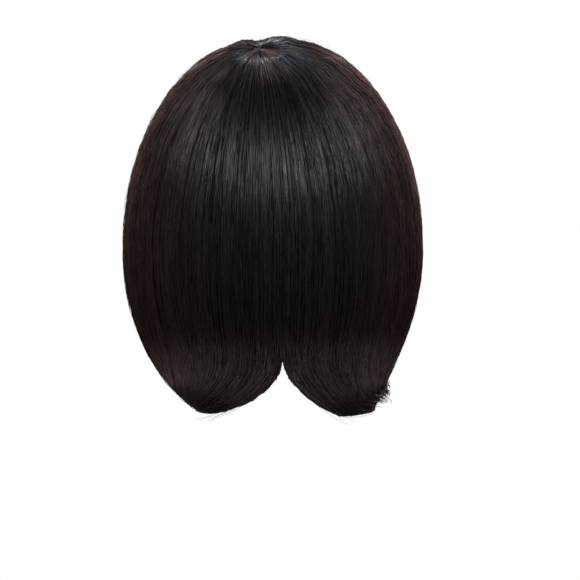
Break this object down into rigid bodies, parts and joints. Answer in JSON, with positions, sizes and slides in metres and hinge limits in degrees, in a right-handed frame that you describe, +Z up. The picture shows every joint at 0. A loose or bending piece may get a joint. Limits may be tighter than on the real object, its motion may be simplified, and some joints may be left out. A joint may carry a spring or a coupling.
{
  "type": "bob wig",
  "caption": "Chin-length bob wig with a full fringe: straight hair falls from a crown whorl over a close cap, parts at the nape and curls round the neck.",
  "frame": {"origin": "highest point inside the cap, where it sits on the top of the head", "axes": "+Z up the head, -Y towards the face, +X towards the wearer's left ear"},
  "size_m": [0.2016, 0.2245, 0.2547],
  "materials": {
    "hair": "straight glossy brown-black synthetic hair",
    "cap_net": "matt black stretch net with rows of weft"
  },
  "bodies": {
    "root": {"wig_cap": "cap_net", "crown_whorl": "hair", "fringe": "hair", "side_hair_left": "hair", "side_hair_right": "hair", "back_hair_left": "hair", "back_hair_right": "hair"}
  },
  "joints": []
}
